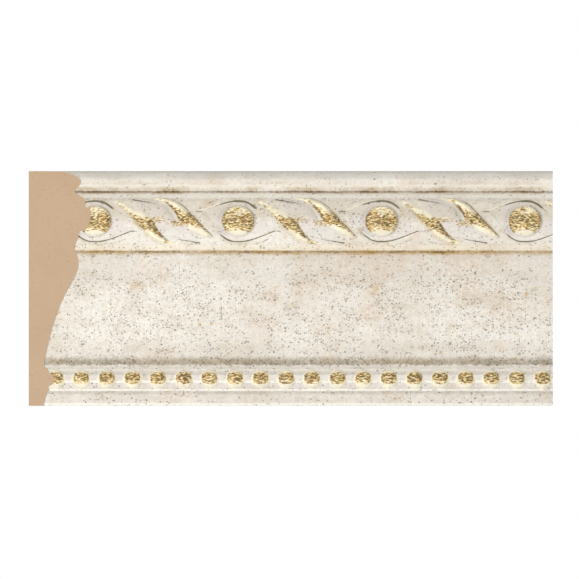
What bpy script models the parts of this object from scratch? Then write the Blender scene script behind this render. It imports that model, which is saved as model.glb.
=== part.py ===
"""A length of cast wall moulding: one solid with a carved frieze, a long ogee and a string of beads.

Metres, +Z up. The origin is the centre of the flat back, which goes against the wall.
The front faces -Y and the length runs along X. Heights are measured up from the bottom edge,
and depths out from the wall. The left end is a mitre, and the right end is square.
"""

import math

import bmesh
import bpy
import numpy as np

# Overall run, measured along the back.
LENGTH = 0.2096
MITRE_ANGLE = math.radians(45.0)

# Foot: the sloping fascia at the bottom, and the thin lip above it.
FOOT_HEIGHT = 0.0058
FOOT_BOTTOM_DEPTH = 0.0058
FOOT_TOP_DEPTH = 0.0073
LIP_HEIGHT = 0.0012
LIP_PROUD = 0.0004
LIP_FLAT = (0.3, 0.7)

# Bead field: the flat that carries the string of beads, and the slope above it.
FIELD_HEIGHT = 0.0072
FIELD_DEPTH = 0.0078
FIELD_SLOPE_HEIGHT = 0.0018

# Hollow between the bead field and the ogee.
HOLLOW_HEIGHT = 0.0018
HOLLOW_DEPTH = 0.0062

# Ogee: the long S-curve, and the nose that rounds back over it.
OGEE_HEIGHT = 0.0394
OGEE_DEPTH = 0.0199
OGEE_SWING = ((0.75, 0.40), (0.80, 1.0))
NOSE_HEIGHT = 0.0065
QUIRK_DEPTH = 0.0179

# Frieze: a cushion that leans forward, up to its crown, and rolls back into the groove.
FRIEZE_RISE = 0.0173
FRIEZE_DEPTH = 0.0230
FRIEZE_SWING = ((0.26, 0.62), (0.70, 0.98))
SHOULDER_HEIGHT = 0.0046
SHOULDER_SWING = ((0.48, 0.0), (0.57, 0.57))
GROOVE_DEPTH = 0.0184

# Top roll.
ROLL_UNDER_HEIGHT = 0.0040
ROLL_DEPTH = 0.0209
ROLL_TOP_HEIGHT = 0.0043
TOP_FLAT_DEPTH = 0.0080

# Carved bosses, each in a round dish inside a pointed eye.
# The corner of an eye is a share of the boss pitch, and a share of the frieze's height.
# The stretch is how much wider than tall the round part of an eye is.
BOSS_START = 0.0264
BOSS_PITCH = 0.05735
BOSS_ABOVE_QUIRK = 0.0101
BOSS_RADIUS = 0.0064
BOSS_RISE = 0.0025
DISH_MARGIN = 0.0014
DISH_DEPTH = 0.0007
EYE_MARGIN = 0.0004
EYE_CORNER = (-0.286, 0.178)
EYE_STRETCH = 1.12
EYE_ARC_END = math.radians(28.0)

# Twisted leaves: a pair between two bosses, each the other turned by half a circle.
# Their curves are shares of the boss pitch and of the frieze's height, from the pair's centre.
LEAF_CURVE = ((-0.101, 0.411), (0.040, 0.438), (0.138, -0.037), (0.310, -0.311))
LEAF_HALF_WIDTH = 0.0034
LEAF_RISE = 0.0016
RIBBON_CURVE = ((-0.232, 0.384), (-0.148, 0.365), (-0.096, 0.338), (-0.038, 0.274))

# Incised lines round the eyes and along the ribbon, which thin out towards their ends.
LINE_HALF_WIDTH = 0.0005
LINE_DEPTH = 0.0009
LINE_END_SHARE = 0.35

# Beads, and the flat links that string them together.
BEAD_START = 0.0107
BEAD_PITCH = 0.010256
BEAD_MARGIN = 0.0001
BEAD_RISE = 0.0024
LINK_HALF_HEIGHT = 0.0017
LINK_RISE = 0.0006
LINK_UNDER_BEAD = 0.0011

# How far a carved piece is rooted in the body, how far its edge dips under the ground,
# and how far a cutter stands clear of the ground.
ROOT = 0.0010
EMBED = 0.0004
CLEAR = 0.0010

# Points of the finished solid that are nearer to each other than this are one point.
WELD_DISTANCE = 0.000005

# Facets: what the round carving is made of.
DISH_SECTORS = 28
BOSS_SECTORS = 24
BOSS_TIERS = 5
BEAD_SECTORS = 16
BEAD_TIERS = 4
CROWN_FLAT = 0.35
LEAF_STEPS = 14
BLADE_FACETS = 6
EYE_ARC_STEPS = 8
EYE_STRAIGHT_STEPS = 5
RIBBON_STEPS = 6

# Heights of the members, each built up from the one below.
FIELD_BOTTOM = FOOT_HEIGHT + LIP_HEIGHT
FIELD_TOP = FIELD_BOTTOM + FIELD_HEIGHT
HOLLOW_BOTTOM = FIELD_TOP + FIELD_SLOPE_HEIGHT
OGEE_BOTTOM = HOLLOW_BOTTOM + HOLLOW_HEIGHT
NOSE_BOTTOM = OGEE_BOTTOM + OGEE_HEIGHT
QUIRK_AT = NOSE_BOTTOM + NOSE_HEIGHT
CROWN_AT = QUIRK_AT + FRIEZE_RISE
GROOVE_AT = CROWN_AT + SHOULDER_HEIGHT
ROLL_NOSE_AT = GROOVE_AT + ROLL_UNDER_HEIGHT
HEIGHT = ROLL_NOSE_AT + ROLL_TOP_HEIGHT

FRIEZE_HEIGHT = FRIEZE_RISE + SHOULDER_HEIGHT
BOSS_AT = QUIRK_AT + BOSS_ABOVE_QUIRK
EYE_RADIUS = BOSS_RADIUS + DISH_MARGIN + EYE_MARGIN
BEAD_AT = FIELD_BOTTOM + FIELD_HEIGHT / 2
BEAD_RADIUS = FIELD_HEIGHT / 2 - BEAD_MARGIN
BACK_LEFT = -LENGTH / 2


def shares(steps):
    """Even shares of a run, up to 1, without its start."""
    return [step / steps for step in range(1, steps + 1)]


def cubic(points, share):
    """The point of a cubic curve at a share of its run, from 0 to 1."""
    start, pull_out, pull_in, end = (np.array(p, float) for p in points)
    rest = 1 - share
    leaving = rest**3 * start + 3 * rest**2 * share * pull_out
    arriving = 3 * rest * share**2 * pull_in + share**3 * end
    return leaving + arriving


def curve(points, steps):
    """The whole cubic curve, its start included."""
    return [cubic(points, share) for share in [0.0] + shares(steps)]


def swing(low, high, pulls, steps):
    """A cubic from low to high, each (height, depth), whose pulls are shares of the box between them."""
    low, high = np.array(low), np.array(high)
    points = [low, low + (high - low) * pulls[0], low + (high - low) * pulls[1], high]
    return curve(points, steps)[1:]


def between(low, high, risen, grown):
    """The (height, depth) point that has covered these shares of the way from low to high."""
    return (low[0] + (high[0] - low[0]) * risen, low[1] + (high[1] - low[1]) * grown)


def wave(low, high, steps):
    """A half wave from low to high, upright at both ends."""
    return [between(low, high, s, (1 - math.cos(math.pi * s)) / 2) for s in shares(steps)]


def nose(low, high, steps):
    """A curve that leaves low upright and turns in towards high."""
    return [between(low, high, s, 1 - math.cos(math.pi / 2 * s)) for s in shares(steps)]


def quarter_ellipse(low, high, steps):
    """A quarter of an ellipse from low, upright, to high, level."""
    angles = [math.pi / 2 * s for s in shares(steps)]
    return [between(low, high, math.sin(a), 1 - math.cos(a)) for a in angles]


def front_profile():
    """The front of the section as (height, depth) points, from the bottom edge to the top flat."""
    points = [(0.0, FOOT_BOTTOM_DEPTH), (FOOT_HEIGHT, FOOT_TOP_DEPTH)]
    points += [(FOOT_HEIGHT + LIP_HEIGHT * share, FIELD_DEPTH + LIP_PROUD) for share in LIP_FLAT]
    points += [(FIELD_BOTTOM, FIELD_DEPTH), (FIELD_TOP, FIELD_DEPTH)]
    points += wave((FIELD_TOP, FIELD_DEPTH), (HOLLOW_BOTTOM, HOLLOW_DEPTH), 3)
    points += [(OGEE_BOTTOM, HOLLOW_DEPTH)]
    points += swing((OGEE_BOTTOM, HOLLOW_DEPTH), (NOSE_BOTTOM, OGEE_DEPTH), OGEE_SWING, 12)
    points += nose((NOSE_BOTTOM, OGEE_DEPTH), (QUIRK_AT, QUIRK_DEPTH), 4)
    points += swing((QUIRK_AT, QUIRK_DEPTH), (CROWN_AT, FRIEZE_DEPTH), FRIEZE_SWING, 8)
    points += swing((CROWN_AT, FRIEZE_DEPTH), (GROOVE_AT, GROOVE_DEPTH), SHOULDER_SWING, 5)
    points += wave((GROOVE_AT, GROOVE_DEPTH), (ROLL_NOSE_AT, ROLL_DEPTH), 5)
    points += quarter_ellipse((ROLL_NOSE_AT, ROLL_DEPTH), (HEIGHT, TOP_FLAT_DEPTH), 7)
    return points


PROFILE = front_profile()


def ground(height):
    """How far the plain section stands out from the wall at a height."""
    return float(np.interp(height, [p[0] for p in PROFILE], [p[1] for p in PROFILE]))


def place(x, height, depth):
    """A point of the object from its place along the length, its height and its depth."""
    return (x, -depth, height - HEIGHT / 2)


def on_ground(x, height, rise):
    """A point that stands out from the plain section by rise."""
    return place(x, height, ground(height) + rise)


def centres(start, pitch, reach):
    """Places along the length, one pitch apart, of what reaches into the object from either side."""
    first = math.ceil((-start - reach) / pitch)
    last = math.floor((LENGTH - start + reach) / pitch)
    return [BACK_LEFT + start + pitch * number for number in range(first, last + 1)]


def loft(mesh, loops, closed=False):
    """Joins a row of loops, all with as many points, into one closed surface."""
    rings = [[mesh.verts.new(point) for point in loop] for loop in loops]
    pairs = list(zip(rings, rings[1:]))
    if closed:
        pairs.append((rings[-1], rings[0]))
    else:
        mesh.faces.new(rings[0])
        mesh.faces.new(rings[-1])
    for near, far in pairs:
        for a in range(len(near)):
            b = (a + 1) % len(near)
            mesh.faces.new((near[a], near[b], far[b], far[a]))


def finished(name, mesh):
    """Turns the surface's faces outwards and puts it in the scene."""
    bmesh.ops.recalc_face_normals(mesh, faces=mesh.faces)
    data = bpy.data.meshes.new(name)
    mesh.to_mesh(data)
    mesh.free()
    made = bpy.data.objects.new(name, data)
    bpy.context.scene.collection.objects.link(made)
    return made


def domed(rise, angle):
    """How high a rounded back stands over the ground, at an angle from its sunk edge."""
    return (rise + EMBED) * math.sin(angle) - EMBED


def dome(mesh, x, height, radius, rise, sectors, tiers):
    """A rounded boss on the ground, rooted in the body. Its crown is a small flat."""
    angles = [math.pi / 2 * tier / tiers for tier in range(tiers)]
    angles.append(math.pi / 2 * (tiers - CROWN_FLAT) / tiers)
    rings = [(radius, -ROOT)] + [(radius * math.cos(a), domed(rise, a)) for a in angles]
    turns = [2 * math.pi * sector / sectors for sector in range(sectors)]
    loops = [
        [on_ground(x + reach * math.cos(t), height + reach * math.sin(t), lift) for t in turns]
        for reach, lift in rings
    ]
    loft(mesh, loops)


def arms(path, half_widths, closed):
    """The half width at each point of a path, as a step across the path."""
    ring = np.array(path, float)
    if closed:
        along = np.roll(ring, -1, axis=0) - np.roll(ring, 1, axis=0)
    else:
        along = np.gradient(ring, axis=0)
    along /= np.linalg.norm(along, axis=1)[:, None]
    return np.stack([-along[:, 1], along[:, 0]], axis=1) * np.array(half_widths)[:, None]


def strip(mesh, path, half_widths, sections, closed=False):
    """A band along a path. Its section at each point is a list of (share of the half width, lift)."""
    loops = []
    for point, arm, section in zip(path, arms(path, half_widths, closed), sections):
        spots = [(point + arm * share, lift) for share, lift in section]
        loops.append([on_ground(spot[0], spot[1], lift) for spot, lift in spots])
    loft(mesh, loops, closed)


def blade_section(rise):
    """The section of a raised strip with a rounded back, rooted in the body."""
    angles = [math.pi * step / BLADE_FACETS for step in range(BLADE_FACETS + 1)]
    back = [(math.cos(a), domed(rise, a)) for a in angles]
    return back + [(-1.0, -ROOT - EMBED), (1.0, -ROOT - EMBED)]


def channel_section(depth):
    """The section of a cutter for a rounded channel."""
    bed = [(share, EMBED * share**2 - depth * (1 - share**2)) for share in (-1.0, -0.5, 0.5, 1.0)]
    return bed + [(1.0, CLEAR), (-1.0, CLEAR)]


def make_body():
    """The plain section, run past both ends so that the end cuts trim the carving too."""
    mesh = bmesh.new()
    outline = PROFILE + [(HEIGHT, 0.0), (0.0, 0.0)]
    overrun = BOSS_PITCH
    ends = (BACK_LEFT - overrun, LENGTH / 2 + overrun)
    loft(mesh, [[place(x, height, depth) for height, depth in outline] for x in ends])
    return finished("moulding", mesh)


def make_dishes():
    """Cutters for the round dishes that the bosses sit in."""
    mesh = bmesh.new()
    radius = BOSS_RADIUS + DISH_MARGIN / 2 - EMBED
    half_width = DISH_MARGIN / 2 + EMBED
    turns = [2 * math.pi * sector / DISH_SECTORS for sector in range(DISH_SECTORS)]
    for x in centres(BOSS_START, BOSS_PITCH, EYE_RADIUS):
        ring = [(x + radius * math.cos(t), BOSS_AT + radius * math.sin(t)) for t in turns]
        sections = [channel_section(DISH_DEPTH)] * len(ring)
        strip(mesh, ring, [half_width] * len(ring), sections, closed=True)
    return finished("dish_cutter", mesh)


def spread(point):
    """A point of the carving from shares of the boss pitch and of the frieze's height."""
    return np.array((point[0] * BOSS_PITCH, point[1] * FRIEZE_HEIGHT))


def eye_line():
    """One side of the eye round a boss: straight from its corner to the oval, and on round it."""
    corner = spread(EYE_CORNER) / (EYE_STRETCH, 1)
    facing = math.atan2(corner[1], corner[0])
    touch = facing - math.acos(EYE_RADIUS / np.linalg.norm(corner))
    turns = [touch + (EYE_ARC_END - touch) * step / EYE_ARC_STEPS for step in range(EYE_ARC_STEPS + 1)]
    arc = [EYE_RADIUS * np.array((math.cos(t), math.sin(t))) for t in turns]
    straight = [corner + (arc[0] - corner) * step / EYE_STRAIGHT_STEPS for step in range(EYE_STRAIGHT_STEPS)]
    return [point * (EYE_STRETCH, 1) for point in straight + arc]


def twins(line, centre):
    """A line of the carving about a centre, and the same turned by half a circle."""
    middle = np.array((centre, BOSS_AT))
    return [[middle + turn * point for point in line] for turn in (1, -1)]


def make_lines():
    """Cutters for the incised lines of the eyes and the ribbon."""
    mesh = bmesh.new()
    ribbon = curve([spread(point) for point in RIBBON_CURVE], RIBBON_STEPS)
    for line, start in ((eye_line(), BOSS_START), (ribbon, BOSS_START + BOSS_PITCH / 2)):
        sizes = [LINE_END_SHARE] + [1.0] * (len(line) - 2) + [LINE_END_SHARE]
        half_widths = [LINE_HALF_WIDTH * size for size in sizes]
        sections = [channel_section(LINE_DEPTH * size) for size in sizes]
        for centre in centres(start, BOSS_PITCH, BOSS_PITCH / 2):
            for path in twins(line, centre):
                strip(mesh, path, half_widths, sections)
    return finished("line_cutter", mesh)


def make_bosses():
    mesh = bmesh.new()
    for x in centres(BOSS_START, BOSS_PITCH, BOSS_RADIUS):
        dome(mesh, x, BOSS_AT, BOSS_RADIUS, BOSS_RISE, BOSS_SECTORS, BOSS_TIERS)
    return finished("boss_solids", mesh)


def make_leaves():
    """A pair of leaves between each two bosses, widest at the middle and thin at the tips."""
    mesh = bmesh.new()
    line = curve([spread(point) for point in LEAF_CURVE], LEAF_STEPS)
    swell = [math.sin(math.pi * (step + 0.5) / (LEAF_STEPS + 1)) for step in range(LEAF_STEPS + 1)]
    half_widths = [LEAF_HALF_WIDTH * size for size in swell]
    sections = [blade_section(LEAF_RISE * math.sqrt(size)) for size in swell]
    for centre in centres(BOSS_START + BOSS_PITCH / 2, BOSS_PITCH, BOSS_PITCH / 2):
        for path in twins(line, centre):
            strip(mesh, path, half_widths, sections)
    return finished("leaf_solids", mesh)


def make_beads():
    mesh = bmesh.new()
    for x in centres(BEAD_START, BEAD_PITCH, BEAD_RADIUS):
        dome(mesh, x, BEAD_AT, BEAD_RADIUS, BEAD_RISE, BEAD_SECTORS, BEAD_TIERS)
    return finished("bead_solids", mesh)


def make_links():
    """The flat strip between the beads, one link from each bead to the next."""
    mesh = bmesh.new()
    half = BEAD_PITCH / 2 - BEAD_RADIUS + LINK_UNDER_BEAD
    corners = [(-1, -1), (1, -1), (1, 1), (-1, 1)]
    for x in centres(BEAD_START + BEAD_PITCH / 2, BEAD_PITCH, BEAD_PITCH / 2):
        spots = [(x + half * a, BEAD_AT + LINK_HALF_HEIGHT * b) for a, b in corners]
        loft(mesh, [[on_ground(*spot, lift) for spot in spots] for lift in (-ROOT, LINK_RISE)])
    return finished("link_solids", mesh)


def make_mitre():
    """A cutter for what lies left of the mitre, a plane that leans along the length with depth."""
    mesh = bmesh.new()
    deep = FRIEZE_DEPTH + BOSS_RISE + LENGTH
    lean = math.tan(MITRE_ANGLE)
    outer = BACK_LEFT - deep * (1 + lean)
    loops = []
    for height in (-HEIGHT, 2 * HEIGHT):
        loops.append(
            [
                place(outer, height, -deep),
                place(BACK_LEFT - deep * lean, height, -deep),
                place(BACK_LEFT + deep * lean, height, deep),
                place(outer, height, deep),
            ]
        )
    loft(mesh, loops)
    return finished("mitre_cutter", mesh)


def make_square_end():
    """A cutter for what lies past the square right end."""
    mesh = bmesh.new()
    far = LENGTH / 2 + LENGTH
    deep = FRIEZE_DEPTH + LENGTH
    loops = []
    for height in (-HEIGHT, 2 * HEIGHT):
        corners = [(LENGTH / 2, -deep), (far, -deep), (far, deep), (LENGTH / 2, deep)]
        loops.append([place(x, height, depth) for x, depth in corners])
    loft(mesh, loops)
    return finished("square_end_cutter", mesh)


def combine(body, other, operation):
    """Joins another solid to the body, or cuts it away, and hides it as a helper."""
    step = body.modifiers.new(other.name, "BOOLEAN")
    step.operation = operation
    step.solver = "EXACT"
    step.object = other
    other.hide_render = True
    other.display_type = "WIRE"


def weld(body):
    """Joins the points that the cuts leave almost on top of each other."""
    step = body.modifiers.new("weld", "WELD")
    step.merge_threshold = WELD_DISTANCE


def finish_material():
    material = bpy.data.materials.new("antique_white_finish")
    material.use_nodes = True
    shader = material.node_tree.nodes["Principled BSDF"]
    shader.inputs["Base Color"].default_value = (0.79, 0.75, 0.66, 1.0)
    shader.inputs["Roughness"].default_value = 0.6
    shader.inputs["Metallic"].default_value = 0.0
    return material


def main():
    for old in list(bpy.data.objects):
        bpy.data.objects.remove(old)
    body = make_body()
    combine(body, make_dishes(), "DIFFERENCE")
    combine(body, make_lines(), "DIFFERENCE")
    combine(body, make_bosses(), "UNION")
    combine(body, make_leaves(), "UNION")
    combine(body, make_links(), "UNION")
    combine(body, make_beads(), "UNION")
    combine(body, make_mitre(), "DIFFERENCE")
    combine(body, make_square_end(), "DIFFERENCE")
    weld(body)
    body.data.materials.append(finish_material())


main()
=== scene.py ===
"""The fine carving and the antique finish of a cast wall moulding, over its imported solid.

Metres, in the solid's frame: the front faces -Y and the length runs along X. Heights are measured
up from the bottom edge, and depths out from the wall.
"""

import math

import bpy
import numpy as np
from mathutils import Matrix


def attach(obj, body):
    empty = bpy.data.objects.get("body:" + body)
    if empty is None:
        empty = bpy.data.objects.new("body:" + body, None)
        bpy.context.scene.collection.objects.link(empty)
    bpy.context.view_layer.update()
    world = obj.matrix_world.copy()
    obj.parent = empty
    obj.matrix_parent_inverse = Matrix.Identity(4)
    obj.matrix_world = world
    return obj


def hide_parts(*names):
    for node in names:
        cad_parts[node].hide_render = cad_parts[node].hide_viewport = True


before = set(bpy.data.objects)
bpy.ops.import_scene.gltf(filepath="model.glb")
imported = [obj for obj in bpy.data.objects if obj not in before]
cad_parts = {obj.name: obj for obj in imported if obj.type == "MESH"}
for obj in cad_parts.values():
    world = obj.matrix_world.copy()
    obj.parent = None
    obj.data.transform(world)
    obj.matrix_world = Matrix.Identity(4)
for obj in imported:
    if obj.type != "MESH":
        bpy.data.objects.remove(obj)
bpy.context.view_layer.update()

# Run of the section, as the solid has it.
LENGTH = 0.2096
BACK_LEFT = -LENGTH / 2
MITRE_SLOPE = math.tan(math.radians(45.0))

FOOT_HEIGHT = 0.0058
FOOT_BOTTOM_DEPTH = 0.0058
FOOT_TOP_DEPTH = 0.0073
LIP_HEIGHT = 0.0012
LIP_PROUD = 0.0004
LIP_FLAT = (0.3, 0.7)
FIELD_HEIGHT = 0.0072
FIELD_DEPTH = 0.0078
FIELD_SLOPE_HEIGHT = 0.0018
HOLLOW_HEIGHT = 0.0018
HOLLOW_DEPTH = 0.0062
OGEE_HEIGHT = 0.0394
OGEE_DEPTH = 0.0199
OGEE_SWING = ((0.75, 0.40), (0.80, 1.0))
NOSE_HEIGHT = 0.0065
QUIRK_DEPTH = 0.0179
FRIEZE_RISE = 0.0173
FRIEZE_DEPTH = 0.0230
FRIEZE_SWING = ((0.26, 0.62), (0.70, 0.98))
SHOULDER_HEIGHT = 0.0046
SHOULDER_SWING = ((0.48, 0.0), (0.57, 0.57))
GROOVE_DEPTH = 0.0184
ROLL_UNDER_HEIGHT = 0.0040
ROLL_DEPTH = 0.0209
ROLL_TOP_HEIGHT = 0.0043
TOP_FLAT_DEPTH = 0.0080

FIELD_BOTTOM = FOOT_HEIGHT + LIP_HEIGHT
FIELD_TOP = FIELD_BOTTOM + FIELD_HEIGHT
HOLLOW_BOTTOM = FIELD_TOP + FIELD_SLOPE_HEIGHT
OGEE_BOTTOM = HOLLOW_BOTTOM + HOLLOW_HEIGHT
NOSE_BOTTOM = OGEE_BOTTOM + OGEE_HEIGHT
QUIRK_AT = NOSE_BOTTOM + NOSE_HEIGHT
CROWN_AT = QUIRK_AT + FRIEZE_RISE
GROOVE_AT = CROWN_AT + SHOULDER_HEIGHT
ROLL_NOSE_AT = GROOVE_AT + ROLL_UNDER_HEIGHT
HEIGHT = ROLL_NOSE_AT + ROLL_TOP_HEIGHT

# Bosses in their round dishes, each inside a pointed eye.
BOSS_START = 0.0264
BOSS_PITCH = 0.05735
BOSS_AT = QUIRK_AT + 0.0101
BOSS_WIDTH = 0.0067
BOSS_TALLNESS = 0.0062
BOSS_RISE = 0.0024
BOSS_FULLNESS = 2.4
DISH_WIDTH = 0.0088
DISH_TALLNESS = 0.0080
DISH_WALL = 0.0024
DISH_DEPTH = 0.0004
EYE_DEPTH = 0.0003
EYE_WALL = 0.0005

# Past this share of the run of an eye's lines, its wall is this wide.
LINE_END = 0.995
EYE_RUNOUT = 10 * EYE_WALL

# The upper side of an eye, from its pointed corner over the boss. The lower side is the same
# turned by half a circle. A short tick runs on from the corner, and two faint ones lie beside it.
EYE_EDGE = (
    (-0.0145, 0.0039),
    (-0.0108, 0.0054),
    (-0.0072, 0.0068),
    (-0.0034, 0.0079),
    (0.0002, 0.0082),
    (0.0030, 0.0079),
    (0.0052, 0.0068),
    (0.0074, 0.0050),
    (0.0086, 0.0033),
)
TICKS = (  # line, depth as a share
    (((-0.0170, 0.0040), (-0.0145, 0.0039)), 0.80),
    (((-0.0124, 0.0070), (-0.0098, 0.0082)), 0.62),
    (((-0.0088, 0.0086), (-0.0060, 0.0094)), 0.55),
)

# The right leaf of a pair lies between these two edges, measured from the pair's centre.
# The left leaf is the same turned by half a circle.
LEAF_TAIL = (-0.0072, 0.0092)
LEAF_TIP = (0.0186, -0.0063)
LEAF_OUTER = (
    LEAF_TAIL,
    (-0.0037, 0.0096),
    (-0.0005, 0.0094),
    (0.0026, 0.0086),
    (0.0052, 0.0074),
    (0.0072, 0.0059),
    (0.0102, 0.0027),
    (0.0128, -0.0001),
    (0.0154, -0.0028),
    LEAF_TIP,
)
LEAF_INNER = (
    LEAF_TAIL,
    (-0.0046, 0.0087),
    (-0.0022, 0.0081),
    (0.0000, 0.0070),
    (0.0018, 0.0054),
    (0.0033, 0.0036),
    (0.0043, 0.0017),
    (0.0050, 0.0001),
    (0.0066, -0.0011),
    (0.0092, -0.0031),
    (0.0134, -0.0056),
    LEAF_TIP,
)
LEAF_RISE = 0.0016
LEAF_CREST = 0.30
LEAF_FULLNESS = 0.7
LEAF_FULL_WIDTH = 0.0035
LEAST_WIDTH = 1e-6

# Painted pale highlights on the right leaf: each a line and its half width.
LEAF_LIGHTS = (
    (((0.0014, 0.0076), (0.0048, 0.0062), (0.0078, 0.0038)), 0.0013),
    (((0.0092, -0.0018), (0.0127, -0.0040), (0.0160, -0.0055)), 0.0013),
)

# Dabs of gold that run on past the left leaf's upper tip.
TIP_DABS = ((-0.0200, 0.0077), (-0.0184, 0.0069), (-0.0160, 0.0054))

# The soft ribbon that winds between the leaves, and the incised line along its outer side.
RIBBON_LINE = ((0.0, 0.0), (0.0022, -0.0034), (0.0070, -0.0052), (0.0140, -0.0066))
RIBBON_RADIUS = 0.0034
RIBBON_RISE = 0.0010
RIBBON_FULLNESS = 0.8
RIBBON_TIP = (0.7, 1.0)
RIBBON_CUT = ((-0.0135, 0.0087), (-0.0095, 0.0080), (-0.0050, 0.0073), (-0.0022, 0.0064))

# Width and depth of the incised lines.
LINE_HALF_WIDTH = 0.0005
LINE_DEPTH = 0.0005

# Beads on their field, and the flat links between them.
BEAD_START = 0.0107
BEAD_PITCH = 0.010256
BEAD_AT = FIELD_BOTTOM + FIELD_HEIGHT / 2
BEAD_RADIUS = 0.0037
BEAD_RISE = 0.0022
LINK_AT = BEAD_AT + 0.0007
LINK_HALF_HEIGHT = 0.0016
LINK_RISE = 0.0006
LINK_WALL = 0.0003
LINK_BOTTOM = LINK_AT - LINK_HALF_HEIGHT
LINK_TOP = LINK_AT + LINK_HALF_HEIGHT

# In the ranges below, two values are where a soft step starts and ends, and four are the rise and
# the fall of a plateau. Places on a leaf are measured as its outline is. Distances out from a boss
# or a bead are shares of its size, and places along a line are shares of its run.

# Where the frieze's carving fades in over the quirk and out under the groove, and the rise at
# which a form hides the sunk ground.
CARVED_ZONE = (QUIRK_AT, QUIRK_AT + 0.0006, GROOVE_AT - 0.0012, GROOVE_AT)
GROUND_HIDDEN = (0.0, 0.0003)

# The incised lines: least depth of an eye's upper and lower side, where each side deepens and
# where it ends, and how fast the ribbon's line fades.
EYE_CUTS = ((0.5, 0.15, 0.42), (0.85, 0.2, 0.5))
EYE_CUT_END = (0.86, 1.0)
RIBBON_CUT_FADE = 0.3

# Gold on a boss. It is bare in a low oval and thin in a high one, so that the cream shows there
# as painted highlights at the boss's bottom and top. Each oval is given as the height of its middle,
# its half width, its half height and its fade.
BOSS_GOLD_EDGE = (0.84, 1.08)
BARE_GOLD_HIGHLIGHT_OVAL = (-0.0056, 0.0056, 0.0028, 0.4)
THIN_GOLD_HIGHLIGHT_OVAL = (0.0034, 0.0038, 0.0020, 0.9)
HIGHLIGHT_THINNING = 0.60

# Gold on a leaf, on its rim, spilt beside it, and in the dabs past its tip.
LEAF_GOLD_EDGE = (-0.0002, 0.0007)
LEAF_GOLD_START = (-0.0052, -0.0012)
LEAF_GOLD_TOP = (0.0058, 0.0088)
TOP_THINNING = 0.25
LIGHT_SPREAD = 1.3
LIGHT_THINNING = 0.88
RIM_GOLD = 0.85
RIM_REACH = 0.0018
RIM_ALONG = (0.0040, 0.0100)
SPILL_GOLD = 0.48
SPILL_UP = (-0.0038, -0.0010, 0.0, 0.0014)
SPILL_ALONG = (-0.0034, 0.0030, 0.0060, 0.0080)
DAB_GOLD = 0.62
DAB_REACH = 0.0013

# Gold on a bead, in a squarish patch.
BEAD_GOLD_UP = 0.0005
BEAD_GOLD_WIDTH = 0.0034
BEAD_GOLD_TALLNESS = 0.0026
BEAD_GOLD_SQUARENESS = 3
BEAD_GOLD_EDGE = (0.25, 1.15)

# How dark the gold is. A level streak is its strength, the height of its middle, and its reach.
BOSS_STREAK = (1.10, 0.0006, 0.0062)
BOSS_STREAK_EDGE = (1.1, 1.3)
LEFT_LOAD = 1.26
RIGHT_LOAD = 0.21
FLANK_ASIDE = (0.25, 0.80)
FLANK_OUT = (0.62, 0.90)
LEAF_STREAK = (1.04, 0.0010, 0.0085)
LEAF_STREAK_ALONG = (-0.0060, 0.0030)
INNER_LOAD = 1.7
INNER_REACH = 0.0026
INNER_UP = (-0.0014, 0.0020)
INNER_ALONG = (-0.0020, 0.0010)
OUTER_REACH = 0.0012
OUTER_ALONG = (0.0060, 0.0110)
BEAD_LOAD = 0.78
BEAD_STREAK = (0.40, 0.0010, 0.0024)

# Cream on the raised forms, and a painted highlight along a pale ridge beside the eyes' lines near
# their corners.
BOSS_CREAM = 0.75
BOSS_CREAM_EDGE = (0.85, 1.0)
CREAM_SPREAD = 1.7
LIGHT_CREAM_EDGE = (-0.0002, 0.0004)
LEAF_CREAM = 0.4
LEAF_CREAM_EDGE = (0.0, 0.0006)
RIDGE_HIGHLIGHT = 0.45
RIDGE_OUT = 0.0003
RIDGE_REACH = 0.0007
RIDGE_ALONG = (0.0, 0.04, 0.20, 0.42)
BEAD_CREAM = 0.85
BEAD_CREAM_EDGE = (0.92, 1.12)

# The clean ground inside an eye and on the ribbon, and painted shade on the left wall of the dish.
EYE_CLEAN = 0.9
WALL_PAINTED_SHADE = 0.5
WALL_OUT = 0.88
WALL_REACH = 0.16
WALL_ASIDE = (0.1, 0.7)
RIBBON_CLEAN = (0.0, 0.3)

# Brown wash on the ground beside the eyes' lines, the leaves' outer edges and the ribbon's line.
EYE_CREASE_REACH = 0.0022
EYE_CREASE_ALONG = (0.30, 0.55)
LEAF_CREASE_REACH = 0.0014
LEAF_CREASE_ALONG = (0.10, 0.50)
RIBBON_CREASE = 0.7
RIBBON_CREASE_REACH = 0.0016

# Ink along the outer and inner edges of the right and the left leaf, stronger as painted shade on
# the edges that face away from the light, and bold over a boss.
OUTER_INK_AND_SHADE = (0.85, 0.55)
OUTER_INK_ALONG = (0.10, 0.45)
INNER_INK_AND_SHADE = (0.70, 0.85)
INNER_INK_AT = 0.36
INNER_INK_REACH = 0.42
BOLD_INK = 0.85
BOLD_REACH = 0.0010
BOLD_ALONG = (0.34, 0.60, 0.86, 1.0)

# Where the columns of the mesh stop leaning with the mitre, and how far apart they are. The mitre
# follows the carving, which is worked out anew in each round.
UPRIGHT_FROM = BACK_LEFT + 0.034
COLUMN_SPACING = 0.0004
MITRE_COLUMNS = 60
MITRE_ROUNDS = 4

# Row spacing on each member, from the foot up, and the steps of a member and of a line's arc.
COARSE_ROW = 0.0014
FINE_ROW = 0.0005
CARVED_ROW = 0.00033
MEMBER_STEPS = 65
ARC_STEPS = 3


def cubic(points, share):
    """Points of a cubic curve at an array of shares of its run."""
    start, pull_out, pull_in, end = (np.array(p, float)[:, None] for p in points)
    rest = 1 - share
    leaving = rest**3 * start + 3 * rest**2 * share * pull_out
    arriving = 3 * rest * share**2 * pull_in + share**3 * end
    return (leaving + arriving).T


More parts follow.
